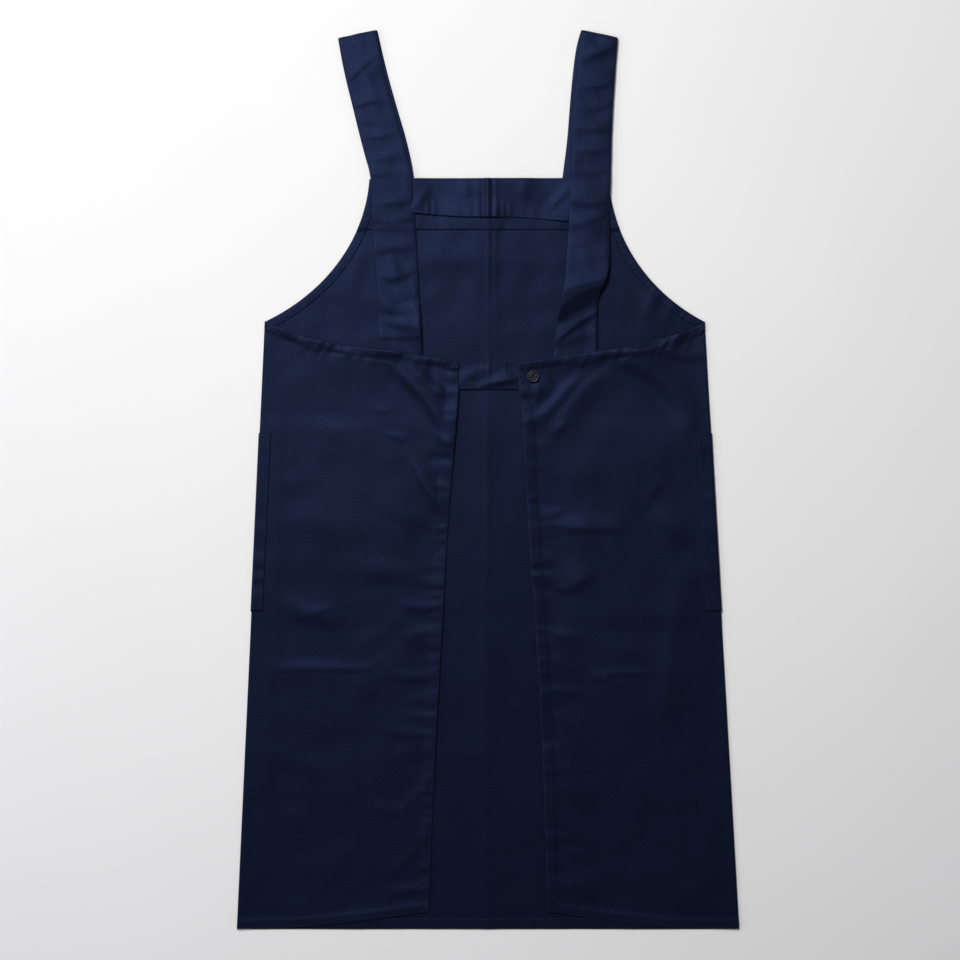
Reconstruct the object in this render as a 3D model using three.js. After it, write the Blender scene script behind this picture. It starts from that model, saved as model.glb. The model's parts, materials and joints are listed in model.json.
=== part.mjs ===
// Cross-back pinafore apron in navy cotton twill, lying flat on its front with its back upwards.
// Millimetres. X runs across the apron, +Y from the hem to the shoulders and +Z up from the table.
// The origin is in the middle of the outline, at table height.
import * as THREE from 'three';

// Lengths along the body, from the hem up.
const skirtLength = 727; // hem to the foot of the armholes
const armholeDepth = 171; // foot of the armholes to the top of the bib
const strapRise = 180; // top of the bib to the shoulder folds

// Widths across the body.
const hemWidth = 602;
const chestWidth = 528; // between the side folds at the foot of the armholes
const bibTopWidth = 286;
const backGapWaist = 72; // between the back panels' upper corners
const backGapHem = 142; // between the back panels' lower corners
const backTopDrop = 49; // the back panels' upper corners sit this far below the armholes
const backHemRise = 20; // their lower corners sit this far above the front hem

// Cloth and seams.
const cloth = 0.9; // one drawn layer of twill with its fluff
const layerGap = 0.3; // air between one layer and the next
const narrowHem = 10; // armholes, back openings and back top edges
const wideHem = 13; // hem at the foot of the apron
const facingDepth = 60; // inside the top of the bib
const stitchWidth = 1;
const stitchHeight = 0.3;

// Straps and crossbar.
const strapWidth = 49;
const strapInset = 28; // corner of the bib to the middle of a strap
const crossbarDepth = 44;
const strapSeam = 28; // length of strap sewn down at the bib
const tailClearance = 2; // end of a strap's tail to the waist tab, both under the back panels
const loopGap = 1.6; // between a strap's folding loop and its sewn ends
const buckleHeight = 9; // rise of the ripple in the slack right strap

// Waist tab and button.
const tabDepth = 31;
const tabSeam = 20; // part of the tab sewn under the left panel
const tabReach = 33; // part of the tab that runs under the right panel
const buttonDiameter = 15;
const buttonThickness = 3;
const buttonHoleDiameter = 1.8;
const buttonHoleSpacing = 3.4;
const buttonInset = 18; // edge of the right panel to the middle of the button
const shankDiameter = 2;
const buttonholeLength = 18;
const buttonholeWidth = 3;

// Pockets, sewn to the front and wrapped over the side folds.
const pocketHeight = 214;
const pocketFrontWidth = 165;
const pocketDrop = 132; // foot of the armholes to the pocket's mouth
const pocketWrap = { left: 13, right: 17 }; // width of the strip that shows on the back

// The back skirts fold open about a slanted crease from below the tab to the foot of the side fold.
const creaseDrop = 46; // upper corner of a back panel to the upper end of the crease
const creaseInset = 24; // side fold to the lower end of the crease
const creaseGap = 1.2; // cloth left out on each side of the crease

// How the slack straps happen to lie, as sideways offsets from their sewn places.
const strapLie = {
  left: { shoulder: 39, front: -1, tail: -10, buckle: 0 },
  right: { shoulder: 8, front: -9, tail: -19, buckle: buckleHeight },
};

// Places that follow from the sizes above.
const totalLength = skirtLength + armholeDepth + strapRise;
const hemY = -totalLength / 2;
const footY = hemY + skirtLength;
const bibTopY = footY + armholeDepth;
const shoulderY = bibTopY + strapRise;
const waistY = footY - backTopDrop;
const crossbarY = bibTopY - crossbarDepth;
const strapX = bibTopWidth / 2 - strapInset;
const pocketMouthY = footY - pocketDrop;
const tabY = waistY - tabDepth / 2;
const buttonX = backGapWaist / 2 + buttonInset;

// Heights: layer(0) lies on the table, and each layer rests on the one below it.
const layer = (count) => count * (cloth + layerGap);
const middle = (count) => layer(count) + cloth / 2;
const overLayer = (count) => layer(count) + cloth + layerGap;
const pocketLayer = 0;
const frontLayer = 1;
const facingLayer = 2;
const backLayer = 3;
const crossbarLayer = 4;
const strapLayer = 5;

const twill = () => new THREE.MeshStandardMaterial({ color: 0x232b47, roughness: 0.92, metalness: 0 });
const thread = () => new THREE.MeshStandardMaterial({ color: 0x2c3656, roughness: 0.8, metalness: 0 });
const polishedResin = () => new THREE.MeshStandardMaterial({ color: 0x14151c, roughness: 0.2, metalness: 0 });

const apron = new THREE.Group();
const garment = new THREE.Group();
apron.add(garment);

function addPiece(group, name, geometry, material) {
  const mesh = new THREE.Mesh(geometry, material);
  mesh.name = name;
  group.add(mesh);
  return mesh;
}

const point = (x, y) => new THREE.Vector2(x, y);
const blend = (a, b, share) => a + (b - a) * share;

// A gentle S from 0 to 1 as value runs from low to high.
function ease(value, low, high) {
  return THREE.MathUtils.smoothstep(value, low, high);
}

// A flat layer of cloth cut to an outline of points.
function flatLayer(points, bottom, thickness = cloth, holes = []) {
  const shape = new THREE.Shape(points);
  shape.holes.push(...holes);
  const geometry = new THREE.ExtrudeGeometry(shape, { depth: thickness, bevelEnabled: false });
  return geometry.translate(0, 0, bottom);
}

// The two sides of a band of even width that follows a line of points.
function bandSides(line, width) {
  const left = [];
  const right = [];
  line.forEach((here, index) => {
    const before = line[Math.max(index - 1, 0)];
    const after = line[Math.min(index + 1, line.length - 1)];
    const along = after.clone().sub(before).normalize();
    const across = point(-along.y, along.x).multiplyScalar(width / 2);
    left.push(here.clone().add(across));
    right.push(here.clone().sub(across));
  });
  return { left, right };
}

function band(line, width) {
  const sides = bandSides(line, width);
  return [...sides.left, ...sides.right.reverse()];
}

// A row of stitches, drawn as one thin raised band.
function stitchRow(group, name, line, bottom) {
  addPiece(group, name, flatLayer(band(line, stitchWidth), bottom, stitchHeight), thread());
}

// Moves a line of points sideways, to the left of its direction.
function beside(line, distance) {
  return bandSides(line, distance * 2).left;
}

function mirrored(points, sign) {
  return points.map((p) => point(p.x * sign, p.y));
}

function valueAt(line, known, wanted, value) {
  for (let i = 1; i < line.length; i += 1) {
    const a = line[i - 1];
    const b = line[i];
    if ((a[known] - value) * (b[known] - value) <= 0 && a[known] !== b[known]) {
      return blend(a[wanted], b[wanted], (value - a[known]) / (b[known] - a[known]));
    }
  }
  throw new Error('the line does not reach that value');
}

// Outlines of the right half; the left half is their mirror image.
const bibCorner = point(bibTopWidth / 2, bibTopY);
const armholeFoot = point(chestWidth / 2, footY);
const hemCorner = point(hemWidth / 2, hemY);
const backTopCorner = point(backGapWaist / 2, waistY);
const backHemCorner = point(backGapHem / 2, hemY + backHemRise);
const creaseTop = point(backGapWaist / 2 + creaseDrop * 0.09, waistY - creaseDrop);
const creaseFoot = point(hemWidth / 2 - creaseInset, hemY + backHemRise * 0.03);

const armholeReach = armholeFoot.x - bibCorner.x;
const armhole = new THREE.CubicBezierCurve(
  bibCorner,
  point(bibCorner.x + armholeReach * 0.04, bibTopY - armholeDepth * 0.43),
  point(bibCorner.x + armholeReach * 0.43, bibTopY - armholeDepth * 0.8),
  armholeFoot,
).getPoints(16);

const backTopEdge = new THREE.QuadraticBezierCurve(
  backTopCorner,
  point(blend(backTopCorner.x, armholeFoot.x, 0.72), waistY + backTopDrop * 0.35),
  armholeFoot,
).getPoints(12);

const backInnerEdge = new THREE.QuadraticBezierCurve(
  creaseTop,
  point(blend(creaseTop.x, backHemCorner.x, 0.72), blend(creaseTop.y, backHemCorner.y, 0.5)),
  backHemCorner,
).getPoints(8);

const backHemEdge = new THREE.QuadraticBezierCurve(
  backHemCorner,
  point(blend(backHemCorner.x, creaseFoot.x, 0.6), hemY + backHemRise * 0.1),
  creaseFoot,
).getPoints(6);

const creaseAlong = creaseFoot.clone().sub(creaseTop).normalize();
const creaseOut = point(-creaseAlong.y, creaseAlong.x); // from the crease towards the side fold
const shifted = (p, distance) => p.clone().addScaledVector(creaseOut, distance);

// Front panel: skirt and bib in one piece, wrong side up.
function makeFrontPanel() {
  const half = [bibCorner, ...armhole.slice(1), hemCorner];
  const outline = [...half, ...mirrored(half, -1).reverse()];
  addPiece(garment, 'front_panel', flatLayer(outline, layer(frontLayer)), twill());
  const hemLine = [point(-hemCorner.x + wideHem, hemY + wideHem), point(hemCorner.x - wideHem, hemY + wideHem)];
  stitchRow(garment, 'front_hem_stitching', hemLine, overLayer(frontLayer));
}

// Facings: a deep one across the top of the bib and a narrow one round each armhole.
function makeFacings() {
  const inner = beside(armhole, -narrowHem);
  const lowerY = bibTopY - facingDepth;
  const clear = beside(armhole, -narrowHem - layerGap * 2);
  const half = [
    point(clear[0].x, bibTopY),
    ...clear.slice(1).filter((p) => p.y > lowerY),
    point(valueAt(clear, 'y', 'x', lowerY), lowerY),
  ];
  const outline = [...half, ...mirrored(half, -1).reverse()];
  addPiece(garment, 'bib_facing', flatLayer(outline, layer(facingLayer)), twill());
  const rowY = lowerY + stitchWidth * 2;
  const rowX = half.at(-1).x - stitchWidth;
  const row = [point(-rowX, rowY), point(rowX, rowY)];
  stitchRow(garment, 'bib_facing_stitching', row, overLayer(facingLayer));

  const belowStrap = bibTopY - strapSeam - stitchWidth * 2;
  const stitched = beside(armhole, stitchWidth * 2 - narrowHem).slice(0, -3).filter((p) => p.y < belowStrap);
  for (const [side, sign] of [['left', -1], ['right', 1]]) {
    const facing = mirrored([...armhole, ...inner.slice().reverse()], sign);
    addPiece(garment, `armhole_facing_${side}`, flatLayer(facing, layer(facingLayer)), twill());
    stitchRow(garment, `armhole_stitching_${side}`, mirrored(stitched, sign), overLayer(facingLayer));
  }
}

// A back panel above and outside its crease, with its stitched top hem.
function makeBackPanel(side, sign) {
  const outline = [
    ...backTopEdge,
    hemCorner,
    shifted(creaseFoot, creaseGap),
    shifted(creaseTop, creaseGap),
  ];
  const holes = [];
  if (side === 'right') {
    holes.push(buttonholeCut());
  }
  const geometry = flatLayer(mirrored(outline, sign), layer(backLayer), cloth, holes);
  addPiece(garment, `back_panel_${side}`, geometry, twill());

  const topRow = beside(backTopEdge, -narrowHem).slice(0, -1);
  stitchRow(garment, `back_top_stitching_${side}`, mirrored(topRow, sign), overLayer(backLayer));
}

// The slot in the right panel that the button passes through.
function buttonholeCut() {
  const reach = (buttonholeLength - buttonholeWidth) / 2;
  const hole = new THREE.Path();
  hole.absarc(buttonX + reach, tabY, buttonholeWidth / 2, -Math.PI / 2, Math.PI / 2, false);
  hole.absarc(buttonX - reach, tabY, buttonholeWidth / 2, Math.PI / 2, (Math.PI * 3) / 2, false);
  return new THREE.Path(hole.getPoints(5).slice(0, -1));
}

// The skirt of a back panel, which folds open about the crease.
function makeBackSkirt(side, sign) {
  const group = new THREE.Group();
  apron.add(group);
  const outline = [
    shifted(creaseTop, -creaseGap),
    ...backInnerEdge.slice(1),
    ...backHemEdge.slice(1, -1),
    shifted(creaseFoot, -creaseGap),
  ];
  addPiece(group, `back_skirt_${side}`, flatLayer(mirrored(outline, sign), layer(backLayer)), twill());
  const edgeRow = beside(backInnerEdge, narrowHem).slice(1, -1);
  stitchRow(group, `back_edge_stitching_${side}`, mirrored(edgeRow, sign), overLayer(backLayer));
  const hemRow = beside(backHemEdge, wideHem).slice(1, -1);
  stitchRow(group, `back_hem_stitching_${side}`, mirrored(hemRow, sign), overLayer(backLayer));
}

// A pocket is one cloth: its front leaf, a turn round the side fold and a strip sewn on the back.
function makePocket(side, sign) {
  const foldX = layerGap;
  const outerX = foldX + cloth;
  const stripBottom = overLayer(backLayer);
  const section = [
    point(-pocketFrontWidth, layer(pocketLayer)),
    point(outerX, layer(pocketLayer)),
    point(outerX, stripBottom + cloth),
    point(-pocketWrap[side], stripBottom + cloth),
    point(-pocketWrap[side], stripBottom),
    point(foldX, stripBottom),
    point(foldX, layer(pocketLayer) + cloth),
    point(-pocketFrontWidth, layer(pocketLayer) + cloth),
  ];
  const sideX = (y) => blend(hemCorner.x, armholeFoot.x, (y - hemY) / skirtLength);
  const geometry = flatLayer(section, 0, pocketHeight);
  // The section's x, y and depth become X, Z and -Y, and each end follows the slanting side fold.
  geometry.rotateX(Math.PI / 2);
  const places = geometry.attributes.position;
  for (let i = 0; i < places.count; i += 1) {
    const y = places.getY(i) + pocketMouthY;
    places.setXYZ(i, (places.getX(i) + sideX(y)) * sign, y, places.getZ(i));
  }
  if (sign < 0) {
    flipFaces(geometry);
  }
  addPiece(garment, `pocket_${side}`, geometry, twill());

  const rowInset = pocketWrap[side] - stitchWidth * 1.5;
  const footY = pocketMouthY - pocketHeight;
  const row = [
    point(sideX(footY + stitchWidth) - rowInset, footY + stitchWidth),
    point(sideX(pocketMouthY - stitchWidth) - rowInset, pocketMouthY - stitchWidth),
  ];
  stitchRow(garment, `pocket_stitching_${side}`, mirrored(row, sign), overLayer(crossbarLayer));
}

// Puts the faces of a mirrored geometry the right way out again.
function flipFaces(geometry) {
  const places = geometry.attributes.position;
  for (let i = 0; i < places.count; i += 3) {
    const a = new THREE.Vector3().fromBufferAttribute(places, i);
    const b = new THREE.Vector3().fromBufferAttribute(places, i + 1);
    places.setXYZ(i, b.x, b.y, b.z);
    places.setXYZ(i + 1, a.x, a.y, a.z);
  }
}

// A strap drawn from its side view (a line of Y and Z), then laid at the X that centreX gives.
function strapStrip(sideLine, centreX) {
  const shape = new THREE.Shape(band(sideLine, cloth));
  const geometry = new THREE.ExtrudeGeometry(shape, { depth: strapWidth, bevelEnabled: false });
  const turned = new THREE.Matrix4().makeBasis(
    new THREE.Vector3(0, 1, 0),
    new THREE.Vector3(0, 0, 1),
    new THREE.Vector3(1, 0, 0),
  );
  geometry.applyMatrix4(turned);
  const places = geometry.attributes.position;
  for (let i = 0; i < places.count; i += 1) {
    const y = places.getY(i);
    const z = places.getZ(i);
    places.setX(i, places.getX(i) - strapWidth / 2 + centreX(y, z));
  }
  return geometry;
}

// The free loop of a strap: front run, shoulder fold and back run.
function makeStrapLoop(side, sign) {
  const lie = strapLie[side];
  const group = new THREE.Group();
  apron.add(group);
  const startY = bibTopY + loopGap;
  const settleY = bibTopY + strapRise / 3;
  const foldRadius = layer(1);
  const runZ = (y, count, floor) => blend(middle(count), floor, ease(y, startY, settleY));
  const frontZ = (y) => runZ(y, backLayer, middle(0));
  const backZ = (y) => runZ(y, strapLayer, middle(0) + foldRadius * 2);
  const bendY = shoulderY - foldRadius - cloth / 2;
  const ys = [];
  for (let i = 0; i <= 8; i += 1) {
    ys.push(blend(startY, settleY, i / 8));
  }
  const turn = new THREE.EllipseCurve(
    bendY, middle(0) + foldRadius, foldRadius, foldRadius, -Math.PI / 2, Math.PI / 2, false,
  ).getPoints(8);
  const line = [
    ...ys.map((y) => point(y, frontZ(y))),
    ...turn,
    ...ys.reverse().map((y) => point(y, backZ(y))),
  ];
  const centreX = (y, z) => {
    const share = Math.min((y - bibTopY) / strapRise, 1);
    const upper = z > (frontZ(y) + backZ(y)) / 2;
    const bibX = strapX + (upper ? 0 : lie.front);
    return sign * blend(bibX, strapX + lie.shoulder, share);
  };
  addPiece(group, `shoulder_strap_${side}`, strapStrip(line, centreX), twill());
}

// Middle of a strap's tail, which leans a little between the bib and the back panel.
function tailMiddle(side, y) {
  const share = THREE.MathUtils.clamp((bibTopY - y) / (bibTopY - waistY), 0, 1);
  return strapX + strapLie[side].tail * share;
}

// The sewn ends of a strap: a short one on the bib and the long back one, called the tail.
function makeStrapEnds(side, sign) {
  const lie = strapLie[side];
  const frontX = sign * (strapX + lie.front);
  const frontEnd = [point(bibTopY - strapSeam, middle(backLayer)), point(bibTopY, middle(backLayer))];
  addPiece(garment, `strap_front_end_${side}`, strapStrip(frontEnd, () => frontX), twill());

  const endX = tailMiddle(side, waistY);
  const sides = [endX - strapWidth / 2, endX + strapWidth / 2];
  const panelEdges = sides.map((x) => valueAt(backTopEdge, 'x', 'y', x));
  const seamY = Math.max(...panelEdges) + narrowHem * 2;
  const endY = waistY + tailClearance;
  const rows = [];
  const steps = 20;
  for (let i = 0; i <= steps; i += 1) {
    const share = i / steps;
    const ripple = Math.exp(-(((share - 0.55) / 0.14) ** 2)) * lie.buckle * ease(1 - share, 0, 0.25);
    const settle = blend(middle(strapLayer), middle(facingLayer), ease(share, 0, 1));
    rows.push(point(blend(crossbarY - narrowHem, seamY, share), settle + ripple));
  }
  const line = [point(bibTopY, middle(strapLayer)), ...rows, point(endY, middle(facingLayer))];
  const centreX = (y) => sign * tailMiddle(side, y);
  addPiece(garment, `strap_tail_${side}`, strapStrip(line, centreX), twill());

  const rowY = seamY - narrowHem / 2;
  const rowX = centreX(rowY);
  const reach = strapWidth / 2 - stitchWidth * 2;
  const row = [point(rowX - reach, rowY), point(rowX + reach, rowY)];
  stitchRow(garment, `strap_end_stitching_${side}`, row, overLayer(facingLayer));
}

// The crossbar joins the straps across the top of the bib, with both ends under the straps.
function makeCrossbar() {
  const outline = [
    point(-strapX, crossbarY),
    point(strapX, crossbarY),
    point(strapX, bibTopY),
    point(-strapX, bibTopY),
  ];
  addPiece(garment, 'crossbar', flatLayer(outline, layer(crossbarLayer)), twill());
  const reach = (side, y) => tailMiddle(side, y) - strapWidth / 2 - stitchWidth * 2;
  for (const [name, y] of [['top', bibTopY - stitchWidth * 3], ['lower', crossbarY + stitchWidth * 3]]) {
    const row = [point(-reach('left', y), y), point(reach('right', y), y)];
    stitchRow(garment, `crossbar_${name}_stitching`, row, overLayer(crossbarLayer));
  }
}

function rectangle(lowX, lowY, highX, highY) {
  return [point(lowX, lowY), point(highX, lowY), point(highX, highY), point(lowX, highY)];
}

// The tab is sewn under the left back panel and buttons under the right one.
function makeWaistTab() {
  const lowX = -backGapWaist / 2 - tabSeam;
  const highX = backGapWaist / 2 + tabReach;
  const outline = rectangle(lowX, waistY - tabDepth, highX, waistY);
  addPiece(garment, 'waist_tab', flatLayer(outline, layer(facingLayer)), twill());
  const reach = backGapWaist / 2 - stitchWidth * 2;
  const inset = stitchWidth * 3;
  const outer = rectangle(-reach, waistY - tabDepth + inset, reach, waistY - inset);
  const low = inset + stitchWidth;
  const inner = rectangle(stitchWidth - reach, waistY - tabDepth + low, reach - stitchWidth, waistY - low);
  const ring = flatLayer(outer, overLayer(facingLayer), stitchHeight, [new THREE.Path(inner)]);
  addPiece(garment, 'tab_stitching', ring, thread());
}

// A four-hole button on a thread shank that passes through the buttonhole.
function makeButton() {
  const top = overLayer(backLayer) + stitchHeight + layerGap;
  const button = new THREE.Group();
  button.position.set(buttonX, tabY, top);
  apron.add(button);
  const disc = new THREE.Shape();
  disc.absarc(0, 0, buttonDiameter / 2, 0, Math.PI * 2);
  for (let i = 0; i < 4; i += 1) {
    const angle = Math.PI / 4 + (i * Math.PI) / 2;
    const away = buttonHoleSpacing / Math.SQRT2;
    const hole = new THREE.Path();
    hole.absarc(Math.cos(angle) * away, Math.sin(angle) * away, buttonHoleDiameter / 2, 0, Math.PI * 2);
    disc.holes.push(hole);
  }
  const geometry = new THREE.ExtrudeGeometry(disc, {
    depth: buttonThickness,
    bevelEnabled: false,
    curveSegments: 12,
  });
  addPiece(button, 'button', geometry, polishedResin());

  const shankBottom = overLayer(facingLayer);
  const shankHeight = top - layerGap - shankBottom;
  const shank = new THREE.CylinderGeometry(shankDiameter / 2, shankDiameter / 2, shankHeight, 12);
  shank.rotateX(Math.PI / 2);
  shank.translate(buttonX, tabY, shankBottom + shankHeight / 2);
  addPiece(garment, 'button_shank', shank, thread());

  const long = buttonholeLength / 2 + stitchWidth * 2;
  const wide = buttonholeWidth / 2 + stitchWidth * 2;
  const outer = rectangle(buttonX - long, tabY - wide, buttonX + long, tabY + wide);
  const inner = rectangle(
    buttonX - long + stitchWidth, tabY - wide + stitchWidth, buttonX + long - stitchWidth, tabY + wide - stitchWidth,
  );
  const ring = flatLayer(outer, overLayer(backLayer), stitchHeight, [new THREE.Path(inner)]);
  addPiece(garment, 'buttonhole_stitching', ring, thread());
}

makeFrontPanel();
makeFacings();
makeCrossbar();
makeWaistTab();
makeButton();
for (const [side, sign] of [['left', -1], ['right', 1]]) {
  makeBackPanel(side, sign);
  makeBackSkirt(side, sign);
  makePocket(side, sign);
  makeStrapLoop(side, sign);
  makeStrapEnds(side, sign);
}

export default apron;
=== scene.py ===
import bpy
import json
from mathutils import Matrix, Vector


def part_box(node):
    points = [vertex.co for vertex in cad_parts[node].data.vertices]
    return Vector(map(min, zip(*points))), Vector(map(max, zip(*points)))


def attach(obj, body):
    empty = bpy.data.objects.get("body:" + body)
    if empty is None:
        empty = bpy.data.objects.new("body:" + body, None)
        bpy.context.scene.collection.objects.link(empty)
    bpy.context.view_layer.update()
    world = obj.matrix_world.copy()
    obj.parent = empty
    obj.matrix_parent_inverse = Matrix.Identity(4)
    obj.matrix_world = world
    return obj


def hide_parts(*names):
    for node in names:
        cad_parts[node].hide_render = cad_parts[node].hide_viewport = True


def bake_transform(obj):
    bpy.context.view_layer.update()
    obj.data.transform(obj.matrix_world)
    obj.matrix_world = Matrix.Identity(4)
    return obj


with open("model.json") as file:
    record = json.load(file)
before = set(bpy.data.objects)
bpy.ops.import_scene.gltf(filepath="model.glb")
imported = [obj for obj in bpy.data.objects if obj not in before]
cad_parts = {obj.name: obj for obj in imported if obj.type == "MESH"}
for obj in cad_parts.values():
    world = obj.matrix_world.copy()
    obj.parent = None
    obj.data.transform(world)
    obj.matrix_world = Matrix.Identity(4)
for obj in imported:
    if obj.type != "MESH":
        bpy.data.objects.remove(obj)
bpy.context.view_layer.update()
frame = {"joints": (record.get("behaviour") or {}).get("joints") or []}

import json
import math

import bmesh
import bpy
import numpy as np
from mathutils import Matrix, Vector

# ----------------------------------------
# Table and light: the apron lies on a sheet of matt white card under one large soft lamp high
# beyond its shoulders, a little to the left, with a weak fill low on the left side.
scene = bpy.context.scene
scene.view_settings.view_transform = "Standard"


def hex_colour(text):
    """sRGB hex, as #rrggbb, to the linear colour that shaders take."""
    parts = [int(text[i : i + 2], 16) / 255 for i in (1, 3, 5)]
    linear = [p / 12.92 if p <= 0.04045 else ((p + 0.055) / 1.055) ** 2.4 for p in parts]
    return (*linear, 1.0)


def new_material(name):
    material = bpy.data.materials.new(name)
    material.use_nodes = True
    material.node_tree.nodes.clear()
    return material


def add_node(tree, kind, settings=None, links=None):
    """Adds a shader node: settings name its properties or sockets, links feed its sockets."""
    node = tree.nodes.new(kind)
    for key, value in (settings or {}).items():
        if isinstance(key, int) or key in node.inputs:
            node.inputs[key].default_value = value
        else:
            setattr(node, key, value)
    for key, output in (links or {}).items():
        tree.links.new(output, node.inputs[key])
    return node


def noise(tree, scale, detail, place):
    """Unevenness from 0 to 1 at a place: scale is its waves per metre."""
    settings = {"Scale": scale, "Detail": detail}
    return add_node(tree, "ShaderNodeTexNoise", settings, {"Vector": place}).outputs["Fac"]


def two_tones(tree, dark, light, share):
    """A colour between two, by the share that another node gives."""
    tones = {"data_type": "RGBA", 6: hex_colour(dark), 7: hex_colour(light)}
    return add_node(tree, "ShaderNodeMix", tones, {0: share}).outputs[2]


def finish_material(tree, settings, links):
    """The surface itself: constant settings on the shader, and what other nodes feed it."""
    shader = add_node(tree, "ShaderNodeBsdfPrincipled", settings, links)
    add_node(tree, "ShaderNodeOutputMaterial", links={"Surface": shader.outputs[0]})


def card_material():
    """Matt white card: bright, with no gloss and only a trace of unevenness."""
    material = new_material("matt_white_card")
    tree = material.node_tree
    place = add_node(tree, "ShaderNodeTexCoord").outputs["Object"]
    tone = two_tones(tree, "#eeedee", "#f4f3f5", noise(tree, 3.0, 3.0, place))
    finish_material(tree, {"Roughness": 0.85, "Specular IOR Level": 0.2}, {"Base Color": tone})
    return material


def mesh_from(bm, name):
    """The mesh that a finished bmesh holds."""
    mesh = bpy.data.meshes.new(name)
    bm.to_mesh(mesh)
    bm.free()
    return mesh


def add_floor():
    bm = bmesh.new()
    bmesh.ops.create_grid(bm, x_segments=1, y_segments=1, size=6.0)
    mesh = mesh_from(bm, "floor")
    floor = bpy.data.objects.new("floor", mesh)
    scene.collection.objects.link(floor)
    mesh.materials.append(card_material())


def add_lamp(name, place, aim, size, watts, colour):
    lamp = bpy.data.lights.new(name, "AREA")
    lamp.shape = "DISK"
    lamp.size = size
    lamp.energy = watts
    lamp.color = hex_colour(colour)[:3]
    holder = bpy.data.objects.new(name, lamp)
    scene.collection.objects.link(holder)
    holder.location = place
    holder.rotation_euler = (Vector(aim) - Vector(place)).to_track_quat("-Z", "Y").to_euler()


def add_camera():
    """Straight above the apron, with the shoulders at the top of the view."""
    lens = bpy.data.cameras.new("camera")
    lens.lens = 85.0
    lens.sensor_width = 36.0
    view_width = 1.152
    camera = bpy.data.objects.new("camera", lens)
    camera.location = (-0.0096, -0.0006, view_width * lens.lens / lens.sensor_width)
    scene.collection.objects.link(camera)
    scene.camera = camera


add_camera()
add_floor()
add_lamp("key_softbox", (-0.62, 1.15, 2.2), (0, 0.1, 0), 0.8, 49, "#fffefb")
add_lamp("side_fill", (-2.3, -0.2, 1.6), (0, 0, 0), 1.2, 13, "#f6f8ff")
world = bpy.data.worlds.new("studio")
world.use_nodes = True
world.node_tree.nodes["Background"].inputs["Color"].default_value = hex_colour("#f2f4f8")
world.node_tree.nodes["Background"].inputs["Strength"].default_value = 0.24
scene.world = world

# ----------------------------------------
# Front panel: skirt and bib cut in one from navy cotton twill, lying wrong side up. Its hem is
# turned up and stitched; its armholes and the top of its bib are finished with facings.
SIDES = ((-1, "left"), (1, "right"))  # left and right as they are seen on the back
CLOTH = 0.5  # thickness of one layer of twill
low, high = (corner * 1000 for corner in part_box("front_panel"))
HEM_Y = low.y
BIB_TOP_Y = high.y + 1.0
FOOT_Y = 189.0  # foot of the armholes
SIDE_HEM = 301.0  # side folds at the hem
SIDE_FOOT = {-1: 267.5, 1: 259.5}  # side folds at the foot of the armholes
BIB_CORNER = {-1: 142.0, 1: 144.5}
FOLD_RADIUS = 1.25  # turn of the cloth at a side fold
POCKET_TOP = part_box("pocket_left")[1].y * 1000
POCKET_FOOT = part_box("pocket_left")[0].y * 1000
POCKET_INNER = -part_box("pocket_left")[1].x * 1000


def twill_material(name, gloss):
    """Piece-dyed cotton twill: fine slanting wales, a little fuzz, a soft bluish lustre and a painted
    highlight along its fold edges.
    The real wales are 0.7 mm apart; they are drawn 1.7 mm apart so that they show."""
    wale = 0.0017
    yarn = 0.0011
    slub = 0.0022
    dye_cloud = 0.09
    material = new_material(name)
    tree = material.node_tree
    flat = add_node(tree, "ShaderNodeUVMap", {"uv_map": "weave"}).outputs["UV"]
    slant = {"Rotation": (0, 0, math.radians(-58))}
    turned = add_node(tree, "ShaderNodeMapping", slant, {"Vector": flat}).outputs["Vector"]
    wave = {"Scale": math.pi / 10 / wale, "Distortion": 1.2, "Detail": 2.0, "Detail Scale": 1.5}
    wales = add_node(tree, "ShaderNodeTexWave", wave, {"Vector": turned}).outputs["Fac"]
    tone = two_tones(tree, TWILL_DARK, TWILL_LIGHT, wales)
    grains = []
    layers = ((yarn, 0.35, "OVERLAY"), (slub, 0.45, "OVERLAY"), (dye_cloud, 0.25, "SOFT_LIGHT"))
    for size, share, mode in layers:
        grains.append(noise(tree, 1 / size, 3.0, flat))
        mix = {"data_type": "RGBA", "blend_type": mode, 0: share}
        tone = add_node(tree, "ShaderNodeMix", mix, {6: tone, 7: grains[-1]}).outputs[2]
    # Painted highlight: along the fold and hem edges of the cloth the colour is mixed towards a lighter
    # navy.
    edge_highlight = add_node(tree, "ShaderNodeAttribute", {"attribute_name": "edge_highlight"}).outputs["Fac"]
    edge_highlight_mix = {"data_type": "RGBA", 7: hex_colour(TWILL_EDGE_HIGHLIGHT)}
    tone = add_node(tree, "ShaderNodeMix", edge_highlight_mix, {0: edge_highlight, 6: tone}).outputs[2]
    height = add_node(tree, "ShaderNodeMath", {"operation": "MULTIPLY", 1: 0.5}, {0: wales}).outputs[0]
    for grain, share in ((grains[0], 1.2), (grains[1], 2.7)):
        rise = {"operation": "MULTIPLY_ADD", 1: share}
        height = add_node(tree, "ShaderNodeMath", rise, {0: grain, 2: height}).outputs[0]
    relief = {"Strength": 0.55, "Distance": 0.0002}
    normal = add_node(tree, "ShaderNodeBump", relief, {"Height": height}).outputs["Normal"]
    spread = {"From Min": 0.34, "From Max": 0.66, "To Min": 0.44, "To Max": 0.55}
    shine = add_node(tree, "ShaderNodeMapRange", spread, {"Value": grains[1]}).outputs["Result"]
    lustre = {"Specular IOR Level": gloss, "Specular Tint": hex_colour("#819cf6")}
    finish_material(tree, lustre, {"Base Color": tone, "Normal": normal, "Roughness": shine})
    return material


TWILL_DARK = "#040810"
TWILL_LIGHT = "#0b101e"
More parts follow.
